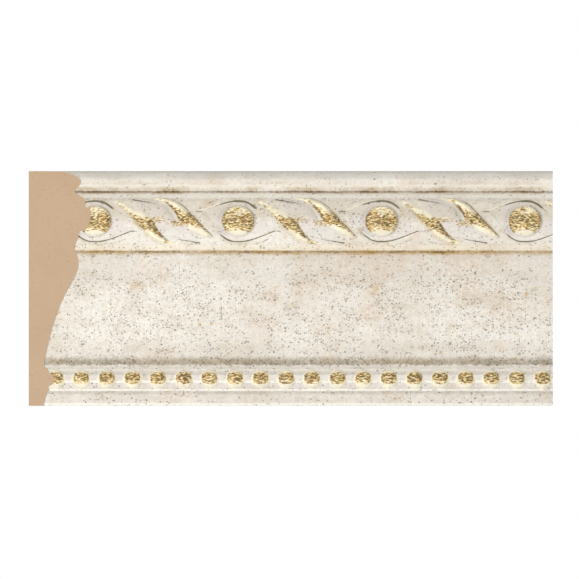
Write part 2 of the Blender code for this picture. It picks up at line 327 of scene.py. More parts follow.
def swing(low, high, pulls, share):
    """A cubic from low to high, each (height, depth), whose pulls are shares of the box between."""
    low, high = np.array(low), np.array(high)
    return cubic([low, low + (high - low) * pulls[0], low + (high - low) * pulls[1], high], share)


def between(low, high, risen, grown):
    """The (height, depth) points that have covered these shares of the way from low to high."""
    heights = low[0] + (high[0] - low[0]) * risen
    return np.stack([heights, low[1] + (high[1] - low[1]) * grown], axis=1)


def members():
    """The section's members from the bottom up, as (points, row spacing)."""
    share = np.linspace(0, 1, MEMBER_STEPS)
    wave = (1 - np.cos(math.pi * share)) / 2
    turned = 1 - np.cos(math.pi / 2 * share)
    rounded = np.sin(math.pi / 2 * share)
    foot = between((0, FOOT_BOTTOM_DEPTH), (FOOT_HEIGHT, FOOT_TOP_DEPTH), share, share)
    lip = [(FOOT_HEIGHT, FOOT_TOP_DEPTH)]
    lip += [(FOOT_HEIGHT + LIP_HEIGHT * part, FIELD_DEPTH + LIP_PROUD) for part in LIP_FLAT]
    lip += [(FIELD_BOTTOM, FIELD_DEPTH)]
    field = between((FIELD_BOTTOM, FIELD_DEPTH), (FIELD_TOP, FIELD_DEPTH), share, share)
    slope = between((FIELD_TOP, FIELD_DEPTH), (HOLLOW_BOTTOM, HOLLOW_DEPTH), share, wave)
    hollow = between((HOLLOW_BOTTOM, HOLLOW_DEPTH), (OGEE_BOTTOM, HOLLOW_DEPTH), share, share)
    ogee = swing((OGEE_BOTTOM, HOLLOW_DEPTH), (NOSE_BOTTOM, OGEE_DEPTH), OGEE_SWING, share)
    nose = between((NOSE_BOTTOM, OGEE_DEPTH), (QUIRK_AT, QUIRK_DEPTH), share, turned)
    frieze = swing((QUIRK_AT, QUIRK_DEPTH), (CROWN_AT, FRIEZE_DEPTH), FRIEZE_SWING, share)
    shoulder = swing((CROWN_AT, FRIEZE_DEPTH), (GROOVE_AT, GROOVE_DEPTH), SHOULDER_SWING, share)
    under = between((GROOVE_AT, GROOVE_DEPTH), (ROLL_NOSE_AT, ROLL_DEPTH), share, wave)
    over = between((ROLL_NOSE_AT, ROLL_DEPTH), (HEIGHT, TOP_FLAT_DEPTH), rounded, turned)
    return [
        (foot, COARSE_ROW),
        (np.array(lip), FINE_ROW),
        (field, CARVED_ROW),
        (slope, FINE_ROW),
        (hollow, FINE_ROW),
        (ogee, COARSE_ROW),
        (nose, FINE_ROW),
        (frieze, CARVED_ROW),
        (shoulder, CARVED_ROW),
        (under, FINE_ROW),
        (over, FINE_ROW),
    ]


def respaced(points, spacing):
    """Points a given distance apart along a polyline, both ends included."""
    run = np.concatenate([[0], np.cumsum(np.hypot(*np.diff(points, axis=0).T))])
    stops = np.linspace(0, run[-1], max(2, round(run[-1] / spacing) + 1))
    return np.stack([np.interp(stops, run, points[:, side]) for side in (0, 1)], axis=1)


def section_rows():
    """The rows of the front, as (height, depth) points from the bottom edge to the top flat."""
    rows = [respaced(points, spacing)[:-1] for points, spacing in members()]
    return np.concatenate(rows + [[(HEIGHT, TOP_FLAT_DEPTH)]])


def smooth(low, high, value):
    """A soft step from 0 at low to 1 at high."""
    share = np.clip((value - low) / (high - low), 0, 1)
    return share * share * (3 - 2 * share)


def gone(low, high, value):
    """A soft step from 1 at low to 0 at high."""
    return 1 - smooth(low, high, value)


def plateau(start, full, thinning, end, value):
    """A soft rise from start to full, and a soft fall from thinning to end."""
    return smooth(start, full, value) * gone(thinning, end, value)


def bell(offset, reach):
    """A soft bump, 1 at an offset of 0 and 0 from reach outwards."""
    return gone(0, reach, np.abs(offset))


def streak(strength, middle, reach, up):
    """A soft level streak whose middle is at a height."""
    return strength * bell(up - middle, reach)


def beside(line, x, y):
    """How far points lie to the right of a line that runs from start to end, and how far along it."""
    line = np.array(line)
    steps = np.diff(line, axis=0)
    lengths = np.hypot(*steps.T)
    starts = np.concatenate([[0], np.cumsum(lengths)])
    nearest = np.full(x.shape, np.inf)
    offset = np.zeros(x.shape)
    along = np.zeros(x.shape)
    for corner, step, length, start in zip(line, steps, lengths, starts):
        share = np.clip(((x - corner[0]) * step[0] + (y - corner[1]) * step[1]) / length**2, 0, 1)
        off_x = x - corner[0] - share * step[0]
        off_y = y - corner[1] - share * step[1]
        distance = np.hypot(off_x, off_y)
        closer = distance < nearest
        nearest = np.where(closer, distance, nearest)
        right = np.where(off_x * step[1] - off_y * step[0] > 0, 1, -1)
        offset = np.where(closer, distance * right, offset)
        along = np.where(closer, (start + share * length) / starts[-1], along)
    return offset, along


def softened(points, count):
    """A smooth line through a few points, by quadratic arcs between the middles of its legs."""
    points = np.array(points)
    middles = (points[1:] + points[:-1]) / 2
    line = [points[:1]]
    share = np.linspace(0, 1, count, endpoint=False)[:, None]
    for start, corner, end in zip(middles, points[1:-1], middles[1:]):
        line.append((1 - share) ** 2 * start + 2 * share * (1 - share) * corner + share**2 * end)
    return np.concatenate(line + [middles[-1:], points[-1:]])


def from_nearest(x, start, pitch):
    """Distance along the length from the nearest of a row of centres."""
    run = x - BACK_LEFT - start
    return run - pitch * np.round(run / pitch)


EYE_LINE = softened(EYE_EDGE, ARC_STEPS)
OUTER_LINE = softened(LEAF_OUTER, ARC_STEPS)
INNER_LINE = softened(LEAF_INNER, ARC_STEPS)
CUT_LINE = softened(RIBBON_CUT, ARC_STEPS)

# A form as its outline is given, and turned by half a circle.
TURNS = (1, -1)


def stroke(line, x, up, reach):
    """1 along a line, falling softly to 0 at its reach."""
    offset, _ = beside(line, x, up)
    return bell(offset, reach)


def thin(offset):
    """1 at the middle of an incised line, falling to 0 at its edge."""
    return np.clip(1 - np.abs(offset) / LINE_HALF_WIDTH, 0, 1)


def most(values):
    """The greatest of several fields at each point."""
    return np.maximum.reduce(list(values))


class Carving:
    """Where each point of the front lies in the carving, with the relief and paint that follow."""

    def __init__(self, x, height):
        self.height = height
        self.up = height - BOSS_AT
        self.in_frieze = plateau(*CARVED_ZONE, height)
        self.boss_x = from_nearest(x, BOSS_START, BOSS_PITCH)
        self.pair_x = from_nearest(x, BOSS_START + BOSS_PITCH / 2, BOSS_PITCH)
        self.bead_x = from_nearest(x, BEAD_START, BEAD_PITCH)
        self.bead_up = height - BEAD_AT
        self.boss_out = np.hypot(self.boss_x / BOSS_WIDTH, self.up / BOSS_TALLNESS)
        self.dish_out = np.hypot(self.boss_x / DISH_WIDTH, self.up / DISH_TALLNESS)
        self.bead_out = np.hypot(self.bead_x, self.bead_up) / BEAD_RADIUS
        self.around_boss = [(turn * self.boss_x, turn * self.up) for turn in TURNS]
        self.in_pair = [(turn * self.pair_x, turn * self.up) for turn in TURNS]
        self.eye_sides = [beside(EYE_LINE, *place) for place in self.around_boss]
        self.outer_sides = [beside(OUTER_LINE, *place) for place in self.in_pair]
        self.inner_sides = [beside(INNER_LINE, *place) for place in self.in_pair]
        self.cut_sides = [beside(CUT_LINE, *place) for place in self.in_pair]
        self.ribbons = [beside(RIBBON_LINE, *place) for place in self.in_pair]

    def leaves(self):
        """For each leaf, how deep points lie in it, the share across it, and its width there."""
        for (outer, _), (inner, _) in zip(self.outer_sides, self.inner_sides):
            depth = np.minimum(outer, -inner)
            width = outer - inner
            across = np.where(depth > 0, outer / np.maximum(width, LEAST_WIDTH), 1.0)
            yield depth, across, width

    def eye(self):
        """1 inside the eye. Its sides run out softly past the ends of their lines."""
        inside = np.ones(self.up.shape)
        for offset, along in self.eye_sides:
            wall = np.where(along > LINE_END, EYE_RUNOUT, EYE_WALL)
            inside = inside * smooth(0, 1, offset / wall)
        return inside

    def cuts(self):
        """How deep the incised lines are, 1 at the most."""
        lines = []
        for (offset, along), (least, start, full) in zip(self.eye_sides, EYE_CUTS):
            deepening = least + (1 - least) * smooth(start, full, along)
            lines.append(thin(offset) * deepening * gone(*EYE_CUT_END, along))
        for line, share in TICKS:
            lines += [share * thin(beside(line, *place)[0]) for place in self.around_boss]
        lines += [thin(offset) * (1 - along) ** RIBBON_CUT_FADE for offset, along in self.cut_sides]
        return most(lines)

    def boss_relief(self):
        return BOSS_RISE * np.sqrt(np.clip(1 - self.boss_out**BOSS_FULLNESS, 0, 1))

    def recess(self):
        """How far the eye and its dish are sunk."""
        dish = smooth(0, DISH_WALL / DISH_WIDTH, 1 - self.dish_out)
        return EYE_DEPTH * self.eye() + DISH_DEPTH * dish

    def leaf_relief(self):
        """A crisp rise from a leaf's outer edge to its crest, and a soft fall to its inner edge."""
        rise = np.zeros(self.up.shape)
        for depth, across, width in self.leaves():
            crisp = smooth(0, LEAF_CREST, across)
            past_crest = np.clip((across - LEAF_CREST) / (1 - LEAF_CREST), 0, 1)
            soft = np.cos(math.pi / 2 * past_crest) ** LEAF_FULLNESS
            full = smooth(0, LEAF_FULL_WIDTH, width)
            rise = np.maximum(rise, np.where(depth > 0, LEAF_RISE * full * crisp * soft, 0))
        return rise

    def ribbon(self):
        """1 along the middle of the winding ribbon, falling to 0 at its sides and tips."""
        arms = []
        for offset, along in self.ribbons:
            out = np.clip(np.abs(offset) / RIBBON_RADIUS, 0, 1)
            arms.append((1 - out**2) ** RIBBON_FULLNESS * gone(*RIBBON_TIP, along))
        return most(arms)

    def bead_relief(self):
        bead = BEAD_RISE * np.sqrt(1 - np.clip(self.bead_out, 0, 1) ** 2)
        link = LINK_RISE * smooth(0, LINK_WALL, LINK_HALF_HEIGHT - np.abs(self.height - LINK_AT))
        return np.maximum(bead, link)

    def relief(self):
        """How far the carving stands out from the plain section."""
        forms = most([self.leaf_relief(), RIBBON_RISE * self.ribbon(), self.boss_relief()])
        sunk = self.recess() * gone(*GROUND_HIDDEN, forms)
        return (forms - sunk - LINE_DEPTH * self.cuts()) * self.in_frieze + self.bead_relief()

    def boss_oval(self, middle, half_width, half_height, fade):
        """1 in the middle of an oval on the boss, falling to 0 at its edge."""
        return smooth(0, fade, 1 - np.hypot(self.boss_x / half_width, (self.up - middle) / half_height))

    def gilding(self):
        """Where dry gold was brushed on: the raised forms, with a little spilt between the leaves. It is
        thinner on the painted highlights.
        """
        bare = self.boss_oval(*BARE_GOLD_HIGHLIGHT_OVAL)
        thinned = 1 - HIGHLIGHT_THINNING * self.boss_oval(*THIN_GOLD_HIGHLIGHT_OVAL)
        gold = gone(*BOSS_GOLD_EDGE, self.boss_out) * (1 - bare) * thinned
        for (x, up), (depth, _, _) in zip(self.in_pair, self.leaves()):
            band = smooth(*LEAF_GOLD_START, up) * (1 - TOP_THINNING * smooth(*LEAF_GOLD_TOP, up))
            light = most(stroke(line, x, up, LIGHT_SPREAD * reach) for line, reach in LEAF_LIGHTS)
            rim = RIM_GOLD * stroke(OUTER_LINE, x, up, RIM_REACH) * smooth(*RIM_ALONG, x)
            leaf = smooth(*LEAF_GOLD_EDGE, depth) * np.maximum(band * (1 - LIGHT_THINNING * light), rim)
            spill = SPILL_GOLD * plateau(*SPILL_UP, up) * plateau(*SPILL_ALONG, x)
            gold = most([gold, leaf, spill])
        gold = np.maximum(gold, DAB_GOLD * stroke(TIP_DABS, self.pair_x, self.up, DAB_REACH))
        aside = np.abs(self.bead_x / BEAD_GOLD_WIDTH) ** BEAD_GOLD_SQUARENESS
        above = np.abs((self.bead_up - BEAD_GOLD_UP) / BEAD_GOLD_TALLNESS) ** BEAD_GOLD_SQUARENESS
        return np.maximum(gold * self.in_frieze, gone(*BEAD_GOLD_EDGE, aside + above))

    def load(self):
        """How dark the gold is: most along the frieze's middle, on the bosses' left sides and at
        the leaves' edges."""
        aside = self.boss_x / BOSS_WIDTH
        left = LEFT_LOAD * smooth(*FLANK_ASIDE, -aside)
        right = RIGHT_LOAD * smooth(*FLANK_ASIDE, aside)
        sides = smooth(*FLANK_OUT, self.boss_out) * np.maximum(left, right)
        dark = np.maximum(streak(*BOSS_STREAK, self.up), sides) * gone(*BOSS_STREAK_EDGE, self.boss_out)
        for x, up in self.in_pair:
            inner = smooth(*INNER_UP, up) * smooth(*INNER_ALONG, x)
            inner = INNER_LOAD * stroke(INNER_LINE, x, up, INNER_REACH) * inner
            outer = stroke(OUTER_LINE, x, up, OUTER_REACH) * smooth(*OUTER_ALONG, x)
            body = streak(*LEAF_STREAK, up) * smooth(*LEAF_STREAK_ALONG, x)
            dark = most([dark, inner, outer, body])
        bead = BEAD_LOAD + streak(*BEAD_STREAK, self.bead_up)
        return np.where(self.height < HOLLOW_BOTTOM, bead, dark)

    def cream_and_highlight(self):
        """Where the raised forms take a pale yellow cream, with painted highlights on the leaves and on
        the ridge at the eyes' corners.
        """
        tint = BOSS_CREAM * gone(*BOSS_CREAM_EDGE, self.boss_out)
        for (x, up), (depth, _, _) in zip(self.in_pair, self.leaves()):
            light = most(stroke(line, x, up, CREAM_SPREAD * reach) for line, reach in LEAF_LIGHTS)
            light = light * smooth(*LIGHT_CREAM_EDGE, depth)
            tint = most([tint, light, LEAF_CREAM * smooth(*LEAF_CREAM_EDGE, depth)])
        for offset, along in self.eye_sides:
            ridge_highlight = RIDGE_HIGHLIGHT * bell(offset + RIDGE_OUT, RIDGE_REACH) * plateau(*RIDGE_ALONG, along)
            tint = np.maximum(tint, ridge_highlight)
        bead = BEAD_CREAM * gone(*BEAD_CREAM_EDGE, self.bead_out)
        return np.maximum(tint * self.in_frieze, bead)

    def clean(self):
        """Where the frieze is smooth, cool and bare of stains: inside the eyes and on the ribbon.
        Past 1 it marks painted shade on the dish's left wall.
        """
        wall = bell(self.dish_out - WALL_OUT, WALL_REACH) * smooth(*WALL_ASIDE, -self.boss_x / DISH_WIDTH)
        eye = self.eye() * (EYE_CLEAN + WALL_PAINTED_SHADE * wall)
        return np.maximum(eye, smooth(*RIBBON_CLEAN, self.ribbon())) * self.in_frieze

    def crease(self):
        """Where brown wash gathered on the ground close beside the forms."""
        shade = [
            bell(offset, reach) * smooth(*start, along)
            for sides, reach, start in (
                (self.eye_sides, EYE_CREASE_REACH, EYE_CREASE_ALONG),
                (self.outer_sides, LEAF_CREASE_REACH, LEAF_CREASE_ALONG),
            )
            for offset, along in sides
        ]
        shade += [RIBBON_CREASE * bell(offset, RIBBON_CREASE_REACH) for offset, _ in self.cut_sides]
        return most(shade) * np.maximum(1 - self.clean(), 0) * self.in_frieze

    def ink_and_shade(self):
        """Where dark wash sits: in the incised lines, bold over a boss, and at the leaves' edges, with
        painted shade on the edges that face away from the light.
        """
        outer = zip(OUTER_INK_AND_SHADE, self.outer_sides)
        inner = zip(INNER_INK_AND_SHADE, self.inner_sides)
        edges = [ink_and_shade * thin(offset) * smooth(*OUTER_INK_ALONG, along) for ink_and_shade, (offset, along) in outer]
        for ink_and_shade, (offset, along) in inner:
            edges.append(ink_and_shade * thin(offset) * bell(along - INNER_INK_AT, INNER_INK_REACH))
        offset, along = self.eye_sides[0]
        bold = BOLD_INK * bell(offset, BOLD_REACH) * plateau(*BOLD_ALONG, along)
        return most([self.cuts(), bold, *edges]) * self.in_frieze


def front_grid():
    """The front's points, row by row from the bottom edge, and the carving at each of them."""
    rows = section_rows()
    heights, depths = rows[:, 0], rows[:, 1]
    cut = BACK_LEFT + depths * MITRE_SLOPE
    for _ in range(MITRE_ROUNDS):
        cut = BACK_LEFT + (depths + Carving(cut, heights).relief()) * MITRE_SLOPE
    leaning = np.linspace(0, 1, MITRE_COLUMNS, endpoint=False)
    upright = np.linspace(UPRIGHT_FROM, LENGTH / 2, round((LENGTH / 2 - UPRIGHT_FROM) / COLUMN_SPACING))
    left = cut[:, None] + (UPRIGHT_FROM - cut[:, None]) * leaning
    x = np.concatenate([left, np.broadcast_to(upright, (len(rows), len(upright)))], axis=1)
    height = np.broadcast_to(heights[:, None], x.shape)
    carving = Carving(x, height)
    depth = depths[:, None] + carving.relief()
    return np.stack([x, -depth, height - HEIGHT / 2], axis=2), carving


def closed_faces(count, width):
    """The faces over the grid, then the underside and the top, then the ends and the back."""
    index = np.arange(count * width).reshape(count, width)
    quads = np.stack([index[:-1, :-1], index[:-1, 1:], index[1:, 1:], index[1:, :-1]], axis=2)
    low_left, low_right, high_left, high_right = range(count * width, count * width + 4)
    flats = [
        [low_left, low_right] + index[0, ::-1].tolist(),
        index[-1].tolist() + [high_right, high_left],
    ]
    bare = [
        index[::-1, 0].tolist() + [low_left, high_left],
        index[:, -1].tolist() + [high_right, low_right],
        [low_left, high_left, high_right, low_right],
    ]
    return quads.reshape(-1, 4).tolist(), flats, bare


def build_mesh(name):
    """The closed surface of the moulding, with its carving and its paint fields."""
    grid, carving = front_grid()
    back = [(end, 0.0, level) for level in (-HEIGHT / 2, HEIGHT / 2) for end in (BACK_LEFT, LENGTH / 2)]
    skin, flats, bare = closed_faces(*grid.shape[:2])
    mesh = bpy.data.meshes.new(name)
    mesh.from_pydata(grid.reshape(-1, 3).tolist() + back, [], skin + flats + bare)
    mesh.polygons.foreach_set("use_smooth", [True] * len(skin) + [False] * len(flats + bare))
    mesh.polygons.foreach_set("material_index", [0] * len(skin + flats) + [1] * len(bare))
    for field, values in (
        ("gilding", carving.gilding()),
        ("cream_and_highlight", carving.cream_and_highlight()),
        ("load", carving.load()),
        ("clean", carving.clean()),
        ("crease", carving.crease()),
        ("ink_and_shade", carving.ink_and_shade()),
    ):
        layer = mesh.attributes.new(field, "FLOAT", "POINT")
        layer.data.foreach_set("value", np.concatenate([values.reshape(-1), np.zeros(len(back))]))
    mesh.update()
    return mesh


class Nodes:
    """Short forms for adding nodes to a material."""

    def __init__(self, name):
        self.material = bpy.data.materials.new(name)
        self.material.use_nodes = True
        self.tree = self.material.node_tree
        self.shader = self.tree.nodes["Principled BSDF"]
        self.place = self.tree.nodes.new("ShaderNodeTexCoord").outputs["Object"]

    def set(self, socket, value):
        """Links a socket to another node's output, or gives it a colour or a number."""
        if isinstance(value, bpy.types.NodeSocket):
            self.tree.links.new(value, socket)
        elif isinstance(value, tuple) and len(value) == 3 and socket.type == "RGBA":
            socket.default_value = (*value, 1.0)
        else:
            socket.default_value = value

    def calc(self, operation, a, b):
        node = self.tree.nodes.new("ShaderNodeMath")
        node.operation = operation
        self.set(node.inputs[0], a)
        self.set(node.inputs[1], b)
        return node.outputs[0]

    def times(self, value, *factors):
        for factor in factors:
            value = self.calc("MULTIPLY", value, factor)
        return value

    def mix(self, factor, a, b):
        node = self.tree.nodes.new("ShaderNodeMix")
        node.data_type = "RGBA"
        self.set(node.inputs["Factor"], factor)
        self.set(node.inputs["A"], a)
        self.set(node.inputs["B"], b)
        return node.outputs["Result"]

    def soft(self, value, low, high, out_low=0.0, out_high=1.0):
        """A soft step between two values."""
        node = self.tree.nodes.new("ShaderNodeMapRange")
        node.interpolation_type = "SMOOTHSTEP"
        for socket, number in zip(node.inputs, (value, low, high, out_low, out_high)):
            self.set(socket, number)
        return node.outputs["Result"]

    def field(self, name):
        node = self.tree.nodes.new("ShaderNodeAttribute")
        node.attribute_name = name
        return node.outputs["Fac"]

    def stretched(self, scale):
        """The object's own coordinates, scaled along each axis."""
        node = self.tree.nodes.new("ShaderNodeMapping")
        self.set(node.inputs["Vector"], self.place)
        node.inputs["Scale"].default_value = scale
        return node.outputs["Vector"]

    def shaken(self, reach, scale):
        """The object's own coordinates, pushed about by a fine noise, most along the length."""
        node = self.tree.nodes.new("ShaderNodeTexNoise")
        self.set(node.inputs["Vector"], self.place)
        node.inputs["Scale"].default_value = scale
        push = self.tree.nodes.new("ShaderNodeVectorMath")
        push.operation = "MULTIPLY_ADD"
        self.set(push.inputs[0], node.outputs["Color"])
        self.set(push.inputs[1], (2 * reach, reach, reach))
        self.set(push.inputs[2], self.place)
        return push.outputs[0]

    def noise(self, scale, detail=2.0, roughness=0.5, stretch=None):
        node = self.tree.nodes.new("ShaderNodeTexNoise")
        self.set(node.inputs["Vector"], self.stretched(stretch) if stretch else self.place)
        node.inputs["Scale"].default_value = scale
        node.inputs["Detail"].default_value = detail
        node.inputs["Roughness"].default_value = roughness
        return node.outputs["Fac"]

    def dots(self, scale, radius, share, core):
        """A share of scattered dots of mixed strengths, each full within its core."""
        node = self.tree.nodes.new("ShaderNodeTexVoronoi")
        self.set(node.inputs["Vector"], self.shaken(DOT_SHAKE / scale, SHAKE_FINENESS * scale))
        node.inputs["Scale"].default_value = scale
        split = self.tree.nodes.new("ShaderNodeSeparateColor")
        self.set(split.inputs[0], node.outputs["Color"])
        near = self.soft(node.outputs["Distance"], core * radius, radius, 1.0, 0.0)
        kept = self.calc("LESS_THAN", split.outputs[0], share)
        strength = self.soft(split.outputs[1], 0.0, 1.0, FAINTEST_DOT, 1.0)
        return self.times(near, kept, strength)

    def height(self):
        """Height above the bottom edge. It counts down again on the flat top, towards the wall."""
        node = self.tree.nodes.new("ShaderNodeSeparateXYZ")
        self.set(node.inputs[0], self.place)
        depth = self.times(node.outputs["Y"], -1.0)
        turn = self.soft(depth, *TOP_TURN, TOP_COUNT_DOWN, 0.0)
        level = self.calc("ADD", node.outputs["Z"], HEIGHT / 2)
        above = self.soft(level, ROLL_NOSE_AT, HEIGHT)
        return self.calc("SUBTRACT", level, self.times(turn, above))

    def band(self, height, low, high, below, above):
        """1 between two heights, falling to 0 over a fade below and another above."""
        over = self.soft(height, low - below, low)
        under = self.soft(height, high, high + above, 1.0, 0.0)
        return self.times(over, under)

    def bump(self, height, distance):
        node = self.tree.nodes.new("ShaderNodeBump")
        node.inputs["Distance"].default_value = distance
        self.set(node.inputs["Height"], height)
        self.set(self.shader.inputs["Normal"], node.outputs["Normal"])


# Between these depths the height starts to count down on the flat top, by this much in all.
TOP_TURN = (0.75 * TOP_FLAT_DEPTH, 1.1 * TOP_FLAT_DEPTH)
TOP_COUNT_DOWN = 0.0020

# How far a dot is pushed about, as a share of its cell, by a noise how much finer than the cells,
# and the strength of the faintest dots.
DOT_SHAKE = 0.5
SHAKE_FINENESS = 2.0
FAINTEST_DOT = 0.25

# Colours of the ground, its marks and washes, its painted shade and painted highlights, the gold, the
# ink, the core and the floor.
CREAM_WHITE = (0.86, 0.82, 0.735)
RUBBED_AND_HIGHLIGHT_WHITE = (0.90, 0.87, 0.78)
WARM_WHITE = (0.66, 0.605, 0.505)
COOL_WHITE = (0.67, 0.62, 0.59)
DULL_WHITE = (0.54, 0.49, 0.42)
SHADED_CREAM = (0.54, 0.48, 0.38)
STAIN = (0.46, 0.37, 0.23)
PIT = (0.12, 0.11, 0.09)
OCHRE = (0.56, 0.38, 0.18)
WARM_PIT = (0.21, 0.135, 0.06)
FRECKLE = (0.33, 0.26, 0.17)
ROSE_STAIN = (0.60, 0.46, 0.34)
GREY_WASH_AND_SHADE = (0.26, 0.22, 0.16)
BROWN_WASH = (0.37, 0.22, 0.055)
AMBER_WASH = (0.43, 0.26, 0.055)
EDGE_HIGHLIGHT_CREAM = (0.86, 0.77, 0.60)
DARK_WASH = (0.10, 0.062, 0.022)
COOL_SHADE = (0.58, 0.54, 0.52)
GRAIN = (0.46, 0.41, 0.34)
ROSE_WHITE = (0.80, 0.70, 0.62)
BLUE_WHITE = (0.66, 0.69, 0.72)
PALE_YELLOW = (0.91, 0.84, 0.62)
LIGHT_GOLD = (0.69, 0.52, 0.23)
AMBER_GOLD = (0.51, 0.28, 0.055)
OLIVE_GOLD = (0.35, 0.25, 0.075)
DARK_GOLD = (0.11, 0.062, 0.02)
INK = (0.12, 0.098, 0.06)
CORE = (0.520, 0.370, 0.241)
CORE_SHADE = (0.445, 0.312, 0.194)
CORE_PORE = (0.36, 0.25, 0.15)
FLOOR_PAINT = (0.81, 0.81, 0.81)
FLOOR_CLOUD = (0.79, 0.79, 0.785)

# Bands of wash and patina, and of painted shade and painted highlight: lowest and highest edge, fade
# below and above, wander, strength, least share left in the thin patches, colour, and how fine the
# patches are.
WASH_AND_LIGHT_BANDS = (
    # Painted shade that darkens the upper half of the frieze.
    (BOSS_AT + 0.0034, GROOVE_AT - 0.0034, 0.0050, 0.0012, 0.0010, 0.78, 0.70, SHADED_CREAM, 120.0),
    # Darker over the nose and the top of the ogee.
    (QUIRK_AT - 0.0110, QUIRK_AT - 0.0020, 0.0060, 0.0005, 0.0010, 0.32, 0.60, DULL_WHITE, 120.0),
    # Painted shade on the upward-turning top of the roll.
    (ROLL_NOSE_AT - 0.0004, HEIGHT, 0.0010, 0.0010, 0.0006, 0.30, 0.00, DULL_WHITE, 60.0),
    (ROLL_NOSE_AT - 0.0010, ROLL_NOSE_AT + 0.0016, 0.0010, 0.0010, 0.0012, 0.30, 0.00, ROSE_STAIN, 45.0),
    # Darker from the top of the bead field to the foot of the ogee.
    (HOLLOW_BOTTOM - 0.0030, OGEE_BOTTOM + 0.0040, 0.0010, 0.0070, 0.0010, 0.42, 0.60, DULL_WHITE, 120.0),
    (0.0014, FOOT_HEIGHT, 0.0008, 0.0001, 0.0004, 0.58, 0.40, DULL_WHITE, 90.0),
    # Painted shade over the bead field, deeper below the links.
    (FIELD_BOTTOM, FIELD_TOP, 0.0002, 0.0004, 0.0003, 0.42, 0.70, COOL_SHADE, 200.0),
    (FIELD_BOTTOM, LINK_BOTTOM - 0.0005, 0.0002, 0.0002, 0.0002, 0.40, 0.60, COOL_SHADE, 200.0),
    # Darker above the links.
    (LINK_TOP, FIELD_TOP - 0.0006, 0.0003, 0.0008, 0.0003, 0.80, 0.60, DULL_WHITE, 150.0),
    # Painted highlight along the lower edge of the links.
    (LINK_BOTTOM - 0.0003, LINK_BOTTOM + 0.0003, 0.0002, 0.0003, 0.0001, 1.00, 0.90, RUBBED_AND_HIGHLIGHT_WHITE, 200.0),
    (GROOVE_AT - 0.0005, GROOVE_AT + 0.0012, 0.0006, 0.0014, 0.0006, 0.62, 0.00, BROWN_WASH, 60.0),
    (GROOVE_AT - 0.0002, GROOVE_AT + 0.0003, 0.0003, 0.0003, 0.0002, 0.98, 0.60, DARK_WASH, 60.0),
    (QUIRK_AT - 0.0024, QUIRK_AT - 0.0016, 0.0014, 0.0006, 0.0009, 0.98, 0.56, AMBER_WASH, 60.0),
    (QUIRK_AT - 0.0022, QUIRK_AT - 0.0018, 0.0004, 0.0004, 0.0008, 0.70, 0.16, DARK_WASH, 80.0),
    # Painted highlight and rubbed wear on the rim just below the quirk.
    (QUIRK_AT - 0.0014, QUIRK_AT - 0.0002, 0.0004, 0.0012, 0.0004, 0.75, 0.60, EDGE_HIGHLIGHT_CREAM, 90.0),
    # Grey and brown at the foot of the ogee: patina, and painted shade in the cove.
    (OGEE_BOTTOM - 0.0010, OGEE_BOTTOM - 0.0003, 0.0009, 0.0029, 0.0013, 1.00, 0.68, GREY_WASH_AND_SHADE, 90.0),
    (OGEE_BOTTOM - 0.0006, OGEE_BOTTOM + 0.0002, 0.0006, 0.0020, 0.0016, 0.24, 0.00, BROWN_WASH, 60.0),
    # Grey under the lip: patina, and painted shade.
    (FOOT_HEIGHT - 0.0006, FOOT_HEIGHT - 0.0002, 0.0012, 0.0003, 0.0003, 0.42, 0.40, GREY_WASH_AND_SHADE, 60.0),
    # Painted shade along the top of the roll and its flat.
    (HEIGHT - 0.0004, HEIGHT + 0.0004, 0.0003, 0.0003, 0.0002, 0.42, 0.85, GREY_WASH_AND_SHADE, 40.0),
)

# Edges rubbed pale, and painted highlights along the lip, the bottom edge, the top of the bead
# field, the roll's top and underside, the shoulder and the foot of the frieze: lowest and highest
# edge, fade, and strength.
RUBBED_AND_LIT_BANDS = (
    (FOOT_HEIGHT + 0.0003, FOOT_HEIGHT + 0.0008, 0.0002, 0.9),
    (-0.0010, 0.0008, 0.0008, 1.0),
    (FIELD_TOP + 0.0001, FIELD_TOP + 0.0010, 0.0006, 0.8),
    (ROLL_NOSE_AT + 0.0008, HEIGHT, 0.0010, 0.5),
    (GROOVE_AT + 0.0018, GROOVE_AT + 0.0026, 0.0008, 0.6),
    (GROOVE_AT - 0.0020, GROOVE_AT - 0.0014, 0.0008, 0.8),
    (QUIRK_AT + 0.0014, QUIRK_AT + 0.0040, 0.0016, 0.22),
)

# A noise is its scale, detail, roughness and stretch, or the first of these. A reading of a noise,
# a field or the height is the values between which it comes in and, where these aren't 0 and 1,
# the share at each. A band is its lowest and highest height and its fades below and above.

# Bands: the drift of their edges and the patches they are left in, at each band's own scale, and
# their grain. The break-up of the rubbed edges and their painted highlights.
DRIFT_FINENESS = 4.0
DRIFT_NOISE = (3.0, 0.65)
NOISE_MIDDLE = 0.5
PATCH_NOISE = (4.0, 0.7, (1.0, 1.0, 2.0))
PATCH_READING = (0.36, 0.62)
BAND_GRAIN = (800.0, 3.0, 0.8)
BAND_GRAIN_READING = (0.36, 0.60, 0.62, 1.0)
RUB_AND_HIGHLIGHT_NOISE = (500.0, 3.0, 0.7)
RUB_AND_HIGHLIGHT_READING = (0.34, 0.60, 0.55, 1.0)

# Pits: their clusters, where on the ogee they are thickest, the fewer on the roll, and for the
# fine and the large ones the scale, radius, greatest share, core and strength.
CLUSTER_NOISE = (110.0, 2.0, 0.5)
CLUSTER_READING = (0.36, 0.62, 0.18, 1.0)
THICK_BAND = (OGEE_BOTTOM, NOSE_BOTTOM - 0.012, 0.003, 0.014)
THICK_READING = (0.0, 1.0, 0.4, 1.0)
FEW_ON_ROLL = (CROWN_AT, GROOVE_AT + 0.0010, 1.0, 0.45)
PITS = (
    (1200.0, 0.46, 0.72, 0.6, 0.88),
    (700.0, 0.34, 0.36, 0.6, 1.00),
)
PIT_STRENGTH = 0.78
WARM_PIT_NOISE = (500.0, 1.0)
WARM_PIT_READING = (0.46, 0.56)

